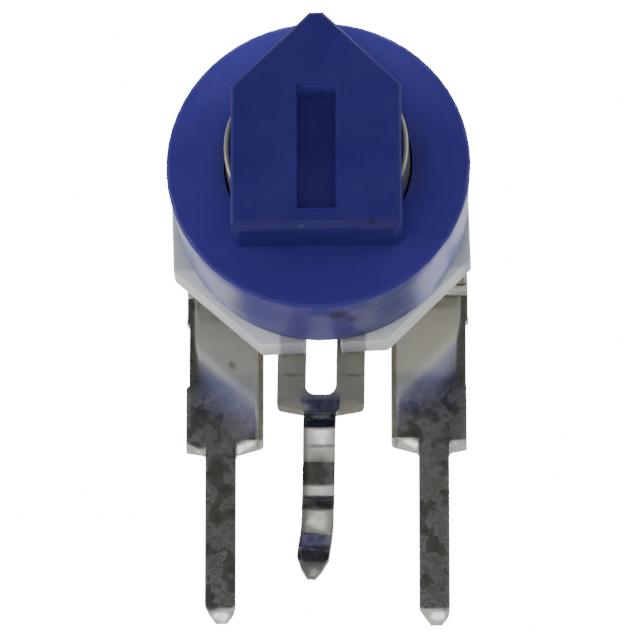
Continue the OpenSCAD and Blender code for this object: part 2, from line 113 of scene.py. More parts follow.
clear_selection()
turn, rise = radians(2.2), radians(-19.4)
aim = mm(-0.065, -2.8, 2.309)
distance = 0.2
picture_width = 14.86 * MM
back = Vector((sin(turn) * cos(rise), -cos(turn) * cos(rise), sin(rise)))
bpy.ops.object.camera_add(location=aim + back * distance)
camera = bpy.context.object
camera.name = "camera"
camera.rotation_euler = (-back).to_track_quat("-Z", "Y").to_euler()
camera.data.lens = camera.data.sensor_width * distance / picture_width
camera.data.clip_start = 0.001
bpy.context.scene.camera = camera
print("lens in mm:", round(camera.data.lens))


# %% [markdown]
# ## The studio
# Everything around the part is white, apart from one dark place in front and above, where the
# photographer stands. Polished sheet metal mirrors that place, which is why the leads look grey
# and not white. A dark card could stand there, but it would get into other views. So the sky does
# it: a direction near the dark place gives a dark sky, and what the camera sees directly is so
# bright that it comes out as plain white.

# %% Build the white sky with its dark place
world = bpy.data.worlds.new("studio")
bpy.context.scene.world = world
world.use_nodes = True
sky = world.node_tree
sky.nodes.clear()


def add(tree, kind, **settings):
    node = tree.nodes.new("ShaderNode" + kind)
    for name, value in settings.items():
        setattr(node, name, value)
    return node


def wire(tree, start, end):
    tree.links.new(start, end)


dark_direction = Vector((-0.02, -0.88, 0.47)).normalized()
outer_angle, inner_angle = radians(39), radians(23)
sky_strength, dark_strength, plain_white = 1.0, 0.07, 16
direction = add(sky, "TexCoord")
nearness = add(sky, "VectorMath", operation="DOT_PRODUCT")
nearness.inputs[1].default_value = dark_direction
shade = add(sky, "MapRange", interpolation_type="SMOOTHSTEP")
shade.inputs["From Min"].default_value = cos(outer_angle)
shade.inputs["From Max"].default_value = cos(inner_angle)
shade.inputs["To Min"].default_value = sky_strength
shade.inputs["To Max"].default_value = dark_strength
around = add(sky, "Background")
seen = add(sky, "Background")
seen.inputs["Color"].default_value = (1, 1, 1, 1)
seen.inputs["Strength"].default_value = plain_white
path = add(sky, "LightPath")
choose = add(sky, "MixShader")
out = add(sky, "OutputWorld")
wire(sky, direction.outputs["Generated"], nearness.inputs[0])
wire(sky, nearness.outputs["Value"], shade.inputs["Value"])
wire(sky, shade.outputs["Result"], around.inputs["Strength"])
wire(sky, path.outputs["Is Camera Ray"], choose.inputs["Fac"])
wire(sky, around.outputs["Background"], choose.inputs[1])
wire(sky, seen.outputs["Background"], choose.inputs[2])
wire(sky, choose.outputs["Shader"], out.inputs["Surface"])
print("dark place at", [round(v, 2) for v in dark_direction])


# %% [markdown]
# The floor lies far below, because the camera looks up from under the part. The sky alone would
# light the knob evenly, so four soft lamps, above, beside and below the part, give it its shape.
# Each one is a round area that looks at the part's middle.

# %% Lay the floor and hang the lamps
floor_size, floor_level = 3, -0.3
clear_selection()
bpy.ops.mesh.primitive_plane_add(size=floor_size, location=(0, 0, floor_level))
floor = bpy.context.object
floor.name = "floor"
floor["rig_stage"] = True


def soft_lamp(name, place, size, power):
    clear_selection()
    bpy.ops.object.light_add(type="AREA", location=place)
    lamp = bpy.context.object
    lamp.name = name
    lamp.data.shape = "DISK"
    lamp.data.size = size
    lamp.data.energy = power
    lamp.rotation_euler = (aim - Vector(place)).to_track_quat("-Z", "Y").to_euler()
    return lamp


lamps = [
    soft_lamp("top_lamp", (0.0, -0.1, 0.35), 0.25, 0.9),
    soft_lamp("left_lamp", (-0.36, -0.2, 0.0), 0.2, 0.8),
    soft_lamp("right_lamp", (0.38, -0.14, 0.16), 0.2, 0.45),
    soft_lamp("low_lamp", (0.0, -0.36, -0.15), 0.16, 0.12),
]
print("lamps:", [lamp.name for lamp in lamps])


# %% [markdown]
# ## Effects that several finishes share
# Real surfaces are never one even tone. Small node groups make the unevenness once, and each use
# gives them its own sizes and colours: a patchy tone, small specks, a single mark at a place, a
# soft-edged box that picks out a zone, a frosted film, and the fine lines of rolled sheet. Their
# patterns are fixed to the part, in metres. The same nodes could be laid out again in every
# material, but a group with named inputs is made once and mended once.

# %% Make a node group
def new_group(name, inputs, outputs):
    group = bpy.data.node_groups.new(name, "ShaderNodeTree")
    for label, kind in inputs:
        group.interface.new_socket(label, in_out="INPUT", socket_type="NodeSocket" + kind)
    for label, kind in outputs:
        group.interface.new_socket(label, in_out="OUTPUT", socket_type="NodeSocket" + kind)
    start, end = group.nodes.new("NodeGroupInput"), group.nodes.new("NodeGroupOutput")
    return group, start.outputs, end.inputs


print("ready to make groups")

# %% [markdown]
# These short helpers place one node each and hand back its output, so that a finish reads as a
# row of plain steps. A Mix node has sockets for every kind of value, and those for colours are
# found by their number.

# %% Helpers that place nodes
def noise(tree, vector, scale, detail=3.0, rough=0.55):
    node = add(tree, "TexNoise")
    node.inputs["Detail"].default_value = detail
    node.inputs["Roughness"].default_value = rough
    wire(tree, vector, node.inputs["Vector"])
    if isinstance(scale, (int, float)):
        node.inputs["Scale"].default_value = scale
    else:
        wire(tree, scale, node.inputs["Scale"])
    return node.outputs["Fac"]


def soft_step(tree, value, low, high, start=0.0, end=1.0):
    node = add(tree, "MapRange", interpolation_type="SMOOTHSTEP")
    for label, given in (("From Min", low), ("From Max", high), ("To Min", start), ("To Max", end)):
        if isinstance(given, (int, float)):
            node.inputs[label].default_value = given
        else:
            wire(tree, given, node.inputs[label])
    wire(tree, value, node.inputs["Value"])
    return node.outputs["Result"]


SHARE, FIRST_COLOUR, SECOND_COLOUR, MIXED_COLOUR = 0, 6, 7, 2


def blend(tree, share, first, second):
    node = add(tree, "Mix", data_type="RGBA")
    for number, given in ((SHARE, share), (FIRST_COLOUR, first), (SECOND_COLOUR, second)):
        if isinstance(given, (int, float, tuple)):
            node.inputs[number].default_value = given
        else:
            wire(tree, given, node.inputs[number])
    return node.outputs[MIXED_COLOUR]


def maths(tree, operation, first, second=None):
    node = add(tree, "Math", operation=operation)
    for number, given in enumerate((first, second)):
        if isinstance(given, (int, float)):
            node.inputs[number].default_value = given
        elif given is not None:
            wire(tree, given, node.inputs[number])
    return node.outputs["Value"]


print("helpers ready")

# %% [markdown]
# Plastic, fired clay and metal all have clouds of a slightly other tone. A picture could give
# them, but a noise needs no file, has no seams and keeps its scale on every piece. Below Low the
# first colour shows, and above High the other one.

# %% Group: patchy tone
patch_group, given, made = new_group(
    "patchy tone",
    [("Vector", "Vector"), ("Scale", "Float"), ("Low", "Float"), ("High", "Float"),
     ("Color", "Color"), ("Patch Color", "Color")],
    [("Color", "Color"), ("Mask", "Float")])
cloud = noise(patch_group, given["Vector"], given["Scale"], 5, 0.6)
mask = soft_step(patch_group, cloud, given["Low"], given["High"])
wire(patch_group, mask, made["Mask"])
wire(patch_group, blend(patch_group, mask, given["Color"], given["Patch Color"]), made["Color"])
print("made", patch_group.name)

# %% [markdown]
# Dust and grains are small round dots. Voronoi cells place them evenly and never on top of each
# other, which a noise can't do: a chosen cell gets a dot in its middle. Share says how many cells
# are chosen, by the red of each cell's random colour.

# %% Group: small specks
speck_group, given, made = new_group(
    "small specks",
    [("Vector", "Vector"), ("Scale", "Float"), ("Size", "Float"), ("Share", "Float"),
     ("Color", "Color"), ("Speck Color", "Color")],
    [("Color", "Color"), ("Mask", "Float")])
cells = add(speck_group, "TexVoronoi")
wire(speck_group, given["Vector"], cells.inputs["Vector"])
wire(speck_group, given["Scale"], cells.inputs["Scale"])
dots = soft_step(speck_group, cells.outputs["Distance"], given["Size"], 0.0)
split = add(speck_group, "SeparateColor")
wire(speck_group, cells.outputs["Color"], split.inputs["Color"])
chosen = maths(speck_group, "LESS_THAN", split.outputs["Red"], given["Share"])
mask = maths(speck_group, "MULTIPLY", dots, chosen)
wire(speck_group, mask, made["Mask"])
wire(speck_group, blend(speck_group, mask, given["Color"], given["Speck Color"]), made["Color"])
print("made", speck_group.name)

# %% [markdown]
# Some spots of dirt sit at one place that the photograph shows. Such a mark is a ball round a
# centre. A noise makes its edge ragged, and a stretch above 1 makes it narrower along that axis.

# %% Group: a single mark at a place
mark_group, given, made = new_group(
    "single mark",
    [("Vector", "Vector"), ("Centre", "Vector"), ("Stretch", "Vector"), ("Radius", "Float"),
     ("Strength", "Float"), ("Color", "Color"), ("Mark Color", "Color")],
    [("Color", "Color"), ("Mask", "Float")])
offset = add(mark_group, "VectorMath", operation="SUBTRACT")
wire(mark_group, given["Vector"], offset.inputs[0])
wire(mark_group, given["Centre"], offset.inputs[1])
squeezed = add(mark_group, "VectorMath", operation="MULTIPLY")
wire(mark_group, offset.outputs["Vector"], squeezed.inputs[0])
wire(mark_group, given["Stretch"], squeezed.inputs[1])
gap = add(mark_group, "VectorMath", operation="LENGTH")
wire(mark_group, squeezed.outputs["Vector"], gap.inputs[0])
ragged = maths(mark_group, "MULTIPLY", noise(mark_group, given["Vector"], 9000, 3), given["Radius"])
reach = maths(mark_group, "ADD", gap.outputs["Value"], ragged)
inner = maths(mark_group, "MULTIPLY", given["Radius"], 0.6)
outer = maths(mark_group, "MULTIPLY", given["Radius"], 1.5)
mask = maths(mark_group, "MULTIPLY", soft_step(mark_group, reach, outer, inner), given["Strength"])
wire(mark_group, mask, made["Mask"])
wire(mark_group, blend(mark_group, mask, given["Color"], given["Mark Color"]), made["Color"])
print("made", mark_group.name)

# %% [markdown]
# Where a finish changes from one part of a piece to the next, a box between two corners picks out
# the zone. A sharp box would show as a line, so its mask grows from 0 to 1 with the depth under
# the nearest wall.

# %% Group: a soft box
box_group, given, made = new_group(
    "soft box",
    [("Vector", "Vector"), ("Low", "Vector"), ("High", "Vector"), ("Edge", "Float")],
    [("Mask", "Float")])
above = add(box_group, "VectorMath", operation="SUBTRACT")
wire(box_group, given["Vector"], above.inputs[0])
wire(box_group, given["Low"], above.inputs[1])
below = add(box_group, "VectorMath", operation="SUBTRACT")
wire(box_group, given["High"], below.inputs[0])
wire(box_group, given["Vector"], below.inputs[1])
nearest = add(box_group, "VectorMath", operation="MINIMUM")
wire(box_group, above.outputs["Vector"], nearest.inputs[0])
wire(box_group, below.outputs["Vector"], nearest.inputs[1])
sides = add(box_group, "SeparateXYZ")
wire(box_group, nearest.outputs["Vector"], sides.inputs["Vector"])
in_plan = maths(box_group, "MINIMUM", sides.outputs["X"], sides.outputs["Y"])
depth = maths(box_group, "MINIMUM", in_plan, sides.outputs["Z"])
wire(box_group, soft_step(box_group, depth, 0.0, given["Edge"]), made["Mask"])
print("made", box_group.name)

# %% [markdown]
# Old tin gets a milky film. It lies in clouds with a finer grain in them, and thin veins run where
# the cloud noise passes through its middle value.

# %% Group: frosted film
film_group, given, made = new_group(
    "frosted film", [("Vector", "Vector"), ("Scale", "Float"), ("Strength", "Float")],
    [("Mask", "Float")])
clouds = noise(film_group, given["Vector"], given["Scale"], 2, 0.5)
cloud = soft_step(film_group, clouds, 0.2, 0.8)
finer = maths(film_group, "MULTIPLY", given["Scale"], 2.6)
grain = soft_step(film_group, noise(film_group, given["Vector"], finer, 1, 0.4), 0.2, 0.8)
from_middle = maths(film_group, "ABSOLUTE", maths(film_group, "SUBTRACT", clouds, 0.5))
web = maths(film_group, "MULTIPLY", soft_step(film_group, from_middle, 0.05, 0.0), 0.35)
thickness = maths(film_group, "ADD", maths(film_group, "MULTIPLY", grain, 0.4), 0.35)
patches = maths(film_group, "MULTIPLY", cloud, thickness)
mask = maths(film_group, "MULTIPLY", maths(film_group, "ADD", patches, web), given["Strength"])
wire(film_group, mask, made["Mask"])
print("made", film_group.name)

# %% [markdown]
# The small sheet-metal parts keep the fine lines of the rolls. A wave texture would repeat them
# evenly, so they are a noise that is stretched along one direction.

# %% Group: fine rolled lines
line_group, given, made = new_group(
    "rolled lines", [("Vector", "Vector"), ("Scale", "Float"), ("Stretch", "Vector")],
    [("Height", "Float")])
stretch = add(line_group, "VectorMath", operation="MULTIPLY")
wire(line_group, given["Vector"], stretch.inputs[0])
wire(line_group, given["Stretch"], stretch.inputs[1])
lines = noise(line_group, stretch.outputs["Vector"], given["Scale"], 4, 0.6)
wire(line_group, lines, made["Height"])
print("made", line_group.name)


# %% [markdown]
# ## Finishes
# Every finish starts from one Principled shader, and what is the same all over the surface stands
# on its own sockets. One helper places a group in the material with its values and hands back its
# outputs, and another gives the mask of a soft box, in millimetres.

# %% Start a finish
def new_finish(name, colour, rough, metal=0.0):
    material = bpy.data.materials.new(name)
    material.use_nodes = True
    tree = material.node_tree
    shader = tree.nodes["Principled BSDF"]
    shader.inputs["Base Color"].default_value = (*colour, 1)
    shader.inputs["Roughness"].default_value = rough
    shader.inputs["Metallic"].default_value = metal
    place = add(tree, "TexCoord").outputs["Object"]
    return material, tree, shader, place


def use(tree, group, vector, **values):
    node = add(tree, "Group", node_tree=group)
    wire(tree, vector, node.inputs["Vector"])
    for name, value in values.items():
        socket = node.inputs[name.replace("_", " ").title()]
        if isinstance(value, (int, float, tuple, Vector)):
            if socket.type == "RGBA" and len(value) == 3:
                value = (*value, 1)
            socket.default_value = value
        else:
            wire(tree, value, socket)
    return node.outputs


def rough_skin(tree, shader, height, depth_mm):
    bump = add(tree, "Bump")
    bump.inputs["Distance"].default_value = depth_mm * MM
    wire(tree, height, bump.inputs["Height"])
    wire(tree, bump.outputs["Normal"], shader.inputs["Normal"])


def zone(tree, place, low, high, edge):
    return use(tree, box_group, place, low=mm(*low), high=mm(*high), edge=edge * MM)["Mask"]


print("finish helpers ready")

# %% [markdown]
# ### Blue moulding
# The knob is moulded in a deep blue plastic with a satin skin. Its faces are even and dark,
# because they look towards the dark place, and a little light enters the plastic, so it gets some
# subsurface. Light and shade are painted into the blue. The disc is painted lighter than the
# arrow, a painted glow, and lighter still near its top, a painted light from above. The rim has two
# painted light sides, which are painted reflections of the white below it, and painted shade right
# of its middle. The slot's floor is lighter. Separate materials would meet in sharp lines, so soft
# boxes blend the colours one over the other.

# %% Finish: blue moulding, its tones
blue, tree, shader, place = new_finish("blue_moulding", (0.02, 0.02, 0.15), 0.4)
shader.inputs["Subsurface Weight"].default_value = 0.2
shader.inputs["Subsurface Radius"].default_value = (0.2, 0.25, 1.0)
shader.inputs["Subsurface Scale"].default_value = 0.25 * MM
tone = use(tree, patch_group, place, scale=420.0, low=0.35, high=0.7,
           color=(0.016, 0.013, 0.12), patch_color=(0.019, 0.016, 0.134))["Color"]
on_disc = zone(tree, place, (-4, -5.75, 0), (4, 0, 10), 0.04)
# painted light: the disc lighter than the arrow, and lighter still near its top
disc_painted_light_blue, top_painted_light_blue = (0.031, 0.025, 0.197, 1), (0.07, 0.062, 0.36, 1)
tone = blend(tree, on_disc, tone, disc_painted_light_blue)
top_light_zone = zone(tree, place, (-4, -9, 5.4), (4, 0, 12), 3)
painted_top_light_share = maths(tree, "MULTIPLY", maths(tree, "MULTIPLY", top_light_zone, on_disc), 0.8)
tone = blend(tree, painted_top_light_share, tone, top_painted_light_blue)
# low corner, high corner and soft edge in mm, then the colour
for low, high, edge, colour in (
        # the slot's floor, lighter
        ((-0.5, -6.92, 3.4), (0.5, -5.95, 6.7), 0.03, (0.05, 0.042, 0.27, 1)),
        # painted reflection: the light right side of the rim
        ((1.7, -5.66, 2.3), (4, -2, 5), 0.6, (0.06, 0.095, 0.46, 1)),
        # painted reflection: the light left side of the rim
        ((-4, -5.66, 2.3), (-1.9, -2, 5), 0.6, (0.045, 0.075, 0.38, 1)),
        # painted shade: the dark place on the rim right of its middle
        ((0.5, -5.66, 1), (2.6, -2, 2.6), 0.6, (0.012, 0.014, 0.13, 1))):
    tone = blend(tree, zone(tree, place, low, high, edge), tone, colour)
print("made the tones of", blue.name)

# %% [markdown]
# Two specks of dirt sit on the rim and two on the arrow's lower edge, and painted shade lies
# beside the ears as a darker haze on the disc. They could be small pieces of their own, but they
# have no thickness to see, so each is a single mark in the colour. The masks are kept, because
# dirt doesn't shine.

# %% Finish: blue moulding, dust and dirt
tone = use(tree, speck_group, place, scale=2600.0, size=0.08, share=0.05,
           color=tone, speck_color=(0.04, 0.05, 0.2))["Color"]
dirt_and_shade_masks = []
# centre in mm, stretch, radius in mm, strength, then the colour
for centre, stretch, radius, strength, colour in (
        ((0.44, -4.95, 1.6), (0.7, 0.6, 1), 0.25, 1.0, (0.003, 0.004, 0.012)),
        ((0.74, -4.45, 1.65), (0.8, 0.7, 1), 0.22, 1.0, (0.003, 0.004, 0.012)),
        ((1.25, -6.87, 3.22), (0.7, 1, 1), 0.1, 0.95, (0.004, 0.006, 0.02)),
        ((-0.33, -6.86, 3.16), (0.6, 1, 1), 0.06, 0.5, (0.08, 0.09, 0.18)),
        # the last two marks are painted shade beside the ears
        ((2.25, -5.66, 5.1), (1, 1, 0.3), 0.42, 0.5, (0.016, 0.022, 0.07)),
        ((-2.2, -5.66, 5.1), (1, 1, 0.3), 0.36, 0.4, (0.016, 0.022, 0.07))):
    mark = use(tree, mark_group, place, centre=mm(*centre), stretch=Vector(stretch),
               radius=radius * MM, strength=strength, color=tone, mark_color=colour)
    tone = mark["Color"]
    dirt_and_shade_masks.append(mark["Mask"])
wire(tree, tone, shader.inputs["Base Color"])
rough_skin(tree, shader, noise(tree, place, 5200.0, 4, 0.6), 0.0005)
print("marks:", len(dirt_and_shade_masks))

# %% [markdown]
# The disc's rim is glossier than its face, and it mirrors the white below it at a low angle. A
# lower roughness would only sharpen the weak mirror image of the plastic, and a coat lays a
# stronger one over the colour. Its weight is 1 where a point lies far from the turning axis,
# behind the face and on the lower half. It is low in the worn middle and on the upper half, and 0
# on the two specks of the rim.

# %% Finish: blue moulding, the glossy rim
axis = Vector(frame["joints"][0]["pos_m"])
from_axis = add(tree, "VectorMath", operation="SUBTRACT")
from_axis.inputs[1].default_value = axis
wire(tree, place, from_axis.inputs[0])
flat_distance = add(tree, "VectorMath", operation="MULTIPLY")
flat_distance.inputs[1].default_value = (1, 0, 1)
wire(tree, from_axis.outputs["Vector"], flat_distance.inputs[0])
reach = add(tree, "VectorMath", operation="LENGTH")
wire(tree, flat_distance.outputs["Vector"], reach.inputs[0])
rim_start, rim_full = 3.3 * MM, 3.38 * MM
far_out = soft_step(tree, reach.outputs["Value"], rim_start, rim_full)
behind_face = zone(tree, place, (-9, -5.63, -9), (9, 9, 12), 0.05)
on_rim = maths(tree, "MULTIPLY", behind_face, far_out)
worn = zone(tree, place, (-2.2, -7, 0), (2.6, -2, 4), 0.7)
lower_half = zone(tree, place, (-9, -9, -9), (9, 9, 5.4), 0.7)
worn_gloss = 0.15
on_lower_rim = maths(tree, "MULTIPLY", on_rim,
                     soft_step(tree, lower_half, 0.0, 1.0, worn_gloss, 1.0))
gloss = maths(tree, "MULTIPLY", on_lower_rim, soft_step(tree, worn, 0.0, 1.0, 1.0, worn_gloss))
dull_spots = maths(tree, "SUBTRACT", 1.0, maths(tree, "MAXIMUM", dirt_and_shade_masks[0], dirt_and_shade_masks[1]))
wire(tree, maths(tree, "MULTIPLY", gloss, dull_spots), shader.inputs["Coat Weight"])
shader.inputs["Coat Roughness"].default_value = 0.2
shader.inputs["Coat IOR"].default_value = 1.7
shader.inputs["Specular IOR Level"].default_value = 0.2
uneven = soft_step(tree, noise(tree, place, 900.0), 0.3, 0.7, 0.34, 0.44)
wire(tree, uneven, shader.inputs["Roughness"])
print("made", blue.name, "axis at", [round(v / MM, 2) for v in axis])

# %% [markdown]
# ### Ceramic
# The plate is fired alumina: white, dull, faintly translucent and slightly grainy, with a little
# grey dust on it. A plain white would look like paint, so some subsurface lets the light in.
# Shade is painted on the front. It is greyer beside the disc, which is the disc's painted shade,
# and darker in the two strips that have the fork's arms behind them, which is the arms' painted
# shadow.

# %% Finish: ceramic
ceramic, tree, shader, place = new_finish("alumina", (0.66, 0.68, 0.69), 0.42)
shader.inputs["Subsurface Weight"].default_value = 0.25
shader.inputs["Subsurface Radius"].default_value = (1.0, 1.0, 1.0)
shader.inputs["Subsurface Scale"].default_value = 0.3 * MM
tone = use(tree, patch_group, place, scale=700.0, low=0.4, high=0.75,
           color=(0.68, 0.7, 0.71), patch_color=(0.57, 0.59, 0.61))["Color"]
# low corner, high corner and soft edge in mm, then the colour
for low, high, edge, colour in (
        # painted shade: the front beside the disc, where the disc shades it
        ((-9, -9, 3.45), (9, -2.15, 12), 0.15, (0.47, 0.49, 0.53, 1)),
        # painted shadow: the two strips with the fork's arms close behind the plate
        ((-1.05, -3, 0), (-0.38, -2, 2.15), 0.1, (0.33, 0.35, 0.37, 1)),
        ((0.38, -3, 0), (1.05, -2, 2.15), 0.1, (0.33, 0.35, 0.37, 1))):
    tone = blend(tree, zone(tree, place, low, high, edge), tone, colour)
dust = use(tree, speck_group, place, scale=3000.0, size=0.16, share=0.05,
           color=tone, speck_color=(0.35, 0.36, 0.38))
wire(tree, dust["Color"], shader.inputs["Base Color"])
rough_skin(tree, shader, noise(tree, place, 9000.0, 3, 0.6), 0.005)
print("made", ceramic.name)

# %% [markdown]
# ### Tinned sheet
# The terminals are stamped from thin sheet with a bright tin coat, which mirrors its surroundings
# softly. The coat is stained, and the outer terminals have a milky film on their lower part. A
# second shader could be mixed in for the film, but one is enough: the film's mask lowers Metallic,
# tints the colour and makes the surface rougher. The film is thin on the upper blades, thick on
# their low part, and the wiper terminal has a little more of it. The fork's arms are rougher, and
# their beige colour is a painted reflection of the plate's back in shade.

# %% Finish: tinned sheet, the coat and its film
tin, tree, shader, place = new_finish("tinned_sheet", (0.7, 0.7, 0.67), 0.15, 1.0)
stain = use(tree, patch_group, place, scale=1100.0, low=0.42, high=0.75,
            color=(0.7, 0.69, 0.62), patch_color=(0.57, 0.56, 0.49))["Color"]
low_part = zone(tree, place, (-9, -0.8, -9), (9, 9, 2.0), 1.4)
on_wiper = zone(tree, place, (-2, -4, -9), (2, -1.5, 9), 0.1)
thin_film, thick_film, wiper_extra = 0.1, 0.72, 0.22
strength = maths(tree, "ADD", soft_step(tree, low_part, 0.0, 1.0, thin_film, thick_film),
                 maths(tree, "MULTIPLY", on_wiper, wiper_extra))
# the arms' beige colour is a painted reflection of the plate's back in shade
film_colour, arm_painted_reflection = (0.13, 0.19, 0.33, 1), (0.28, 0.27, 0.225, 1)
frost = use(tree, film_group, place, scale=2600.0, strength=strength)["Mask"]
arms = zone(tree, place, (-1.3, -2.25, 0.2), (1.3, -1.8, 9), 0.06)
metal_lost, film_share, film_rough = 0.6, 0.7, 0.35
bare_metal = maths(tree, "SUBTRACT", 1.0, maths(tree, "MULTIPLY", frost, metal_lost))
wire(tree, bare_metal, shader.inputs["Metallic"])
film = maths(tree, "MAXIMUM", maths(tree, "MULTIPLY", frost, film_share), arms)
blade_rough, wiper_rough = 0.13, 0.19
smooth = soft_step(tree, on_wiper, 0.0, 1.0, blade_rough, wiper_rough)
uneven = maths(tree, "ADD", smooth, maths(tree, "MULTIPLY", film, film_rough))
wire(tree, uneven, shader.inputs["Roughness"])
# the fork's arms take the painted reflection of the plate's back as their colour
tone = blend(tree, arms, blend(tree, frost, stain, film_colour), arm_painted_reflection)
print("made the coat of", tin.name)

# %% [markdown]
# Most of these boxes are painted reflections and painted shade: the colours stand in for the bands
# in which the sheet mirrors the knob, the plate and the dark place, so they stay fixed to the part.
# They could be painted on a picture, but soft boxes and single marks stay sharp at any distance.
# The first table gives the boxes: six painted reflection bands on the kinked pin from its neck to
# its tip, a darker top on the right blade, and on each blade an upper painted reflection of the
# plate and a middle, bluish painted reflection. The second table gives the marks: a spot of dirt,
# a darker top corner, a dark band across each arm of the fork, and two darker places on the
# kinked pin.

# %% Finish: tinned sheet, zones and marks
# low corner, high corner and soft edge in mm, then the colour
for low, high, edge, colour in (
        # painted reflections: six bands on the kinked pin, from its neck to its tip
        ((-0.6, -2.95, -0.3), (0.6, -2.22, 0.8), 0.04, (0.27, 0.29, 0.25, 1)),
        ((-0.6, -2.95, -0.3), (0.6, -2.3, 0.19), 0.05, (0.07, 0.085, 0.11, 1)),
        ((-0.6, -3.1, -2.85), (0.6, -2.0, -2.1), 0.1, (0.33, 0.34, 0.3, 1)),
        ((-0.6, -3.1, -2.2), (0.6, -2.0, -1.9), 0.03, (0.28, 0.27, 0.2, 1)),
        ((-0.6, -3.1, -4.2), (0.4, -2.0, -3.08), 0.15, (0.17, 0.165, 0.18, 1)),
        ((-0.6, -3.1, -4.2), (0.4, -2.0, -3.55), 0.12, (0.16, 0.16, 0.15, 1)),
        # darker at the top of the right blade
        ((2.7, -2, 3.7), (3.7, 1, 5.5), 0.1, (0.42, 0.41, 0.36, 1)),
        # painted reflection of the plate on the upper part of each blade
        ((1.6, -1, 1.8), (3.4, 1, 3.9), 0.5, (0.78, 0.75, 0.63, 1)),
        ((-3.4, -1, 1.8), (-1.6, 1, 3.9), 0.5, (0.65, 0.65, 0.61, 1)),
        # bluish painted reflection on the middle of each blade
        ((1.4, -1, 0.6), (3.4, 1, 2.1), 0.5, (0.4, 0.41, 0.46, 1)),
        ((-3.4, -1, 0.6), (-1.4, 1, 2.1), 0.5, (0.46, 0.47, 0.51, 1))):
    tone = blend(tree, zone(tree, place, low, high, edge), tone, colour)
# centre in mm, stretch, radius in mm, strength, then the colour
for centre, stretch, radius, strength, colour in (
        ((-2.23, -0.15, 2.14), (1, 1, 1), 0.15, 0.75, (0.2, 0.2, 0.19)),
        # a darker top outer corner on the left blade
        ((-3.08, -0.15, 3.85), (1, 1, 0.7), 0.3, 0.6, (0.2, 0.18, 0.13)),
        # a dark band across each arm of the fork
        ((-0.73, -2.2, 1.17), (0.3, 1, 1.7), 0.11, 0.6, (0.12, 0.115, 0.09)),
        ((0.7, -2.2, 1.15), (0.3, 1, 1.7), 0.11, 0.6, (0.12, 0.115, 0.09)),
        # two darker places on the kinked pin
        ((-0.02, -2.6, -0.7), (0.2, 0.5, 1.8), 0.14, 0.9, (0.14, 0.16, 0.17)),
        ((-0.06, -2.45, -2.44), (0.25, 0.5, 1.6), 0.12, 0.6, (0.2, 0.2, 0.18))):
    tone = use(tree, mark_group, place, centre=mm(*centre), stretch=Vector(stretch),
               radius=radius * MM, strength=strength, color=tone, mark_color=colour)["Color"]
print("zones and marks done")

# %% [markdown]
# The kinked pin is darker along both of its sides. Its middle line leans to the left near the tip,
# so the distance is taken from that line. The cut edges of all the sheet carry no tin and show
# the brassy metal under it. A second material on their faces would do, but the normal finds them
# by itself, because it points to the side there.

# %% Finish: tinned sheet, the sides of the kinked pin and the cut edges
spread = add(tree, "SeparateXYZ")
wire(tree, place, spread.inputs["Vector"])
lean = soft_step(tree, spread.outputs["Z"], -2.2 * MM, -3.5 * MM, 0.06 * MM, 0.21 * MM)
from_kink = maths(tree, "ABSOLUTE", maths(tree, "ADD", spread.outputs["X"], lean))
on_kink = zone(tree, place, (-1, -3.2, -4.2), (1, -2, 0.2), 0.1)
near_side = soft_step(tree, from_kink, 0.24 * MM, 0.37 * MM, 0.0, 0.75)
darker_side_colour, bare_brass = (0.12, 0.12, 0.105, 1), (0.36, 0.31, 0.17, 1)
# the kinked pin darker along both of its sides
tone = blend(tree, maths(tree, "MULTIPLY", near_side, on_kink), tone, darker_side_colour)
facing = add(tree, "NewGeometry").outputs["Normal"]
split = add(tree, "SeparateXYZ")
wire(tree, facing, split.inputs["Vector"])
sideways = soft_step(tree, maths(tree, "ABSOLUTE", split.outputs["X"]), 0.75, 0.95)
wire(tree, blend(tree, sideways, tone, bare_brass), shader.inputs["Base Color"])
print("edges done")

# %% [markdown]
# Stamping rolls the edges off: the face curves back a few hundredths of a millimetre towards them
# and mirrors another part of the room. A mesh would need very many faces for so shallow a curve,
# so a height in millimetres makes it as a bump: along the blades' outer and inner edges, and along
# both edges of the straight pins. The right blade leans a little more, and all of the sheet is
# slightly wavy.

# %% Finish: tinned sheet, rolled edges
def rolled_off(distance, start, end, depth):
    ramp = add(tree, "MapRange")
    for label, value in (("From Min", start), ("From Max", end), ("To Min", 0.0), ("To Max", 1.0)):
        ramp.inputs[label].default_value = value
    wire(tree, distance, ramp.inputs["Value"])
    share = ramp.outputs["Result"]
    return maths(tree, "MULTIPLY", maths(tree, "MULTIPLY", share, share), -depth)


pin_middle, right_lean, wave_height = 2.5, 60.0, 0.004
across = maths(tree, "MULTIPLY", maths(tree, "ABSOLUTE", spread.outputs["X"]), 1 / MM)
from_pin = maths(tree, "ABSOLUTE", maths(tree, "SUBTRACT", across, pin_middle))
on_pin = soft_step(tree, spread.outputs["Z"], -0.05 * MM, -0.5 * MM)
outer_edge = rolled_off(across, 3.02, 3.3, 0.028)
inner_edge = rolled_off(across, 1.7, 1.5, 0.035)
pin_edges = maths(tree, "MULTIPLY", rolled_off(from_pin, 0.2, 0.355, 0.015), on_pin)
rolled = maths(tree, "ADD", maths(tree, "ADD", outer_edge, inner_edge), pin_edges)
right_side = maths(tree, "GREATER_THAN", spread.outputs["X"], 1.2 * MM)
leaning = maths(tree, "MULTIPLY", spread.outputs["Z"], right_lean)
tilt = maths(tree, "MULTIPLY", leaning, right_side)
wavy = maths(tree, "MULTIPLY", noise(tree, place, 700.0, 2, 0.5), wave_height)
rough_skin(tree, shader, maths(tree, "ADD", maths(tree, "ADD", rolled, tilt), wavy), 1.0)
print("made", tin.name)


# %% [markdown]
# ### The small metal parts and the printed films
# The carrier and the rivet are nickel silver that has dulled, the contact fingers are bronze, and
# the joints are solder. The track is a dull black print, and its end pads are a silver one. Each
# could have a recipe of its own, but they differ only in their values, so one function makes the
# metals and another the films.

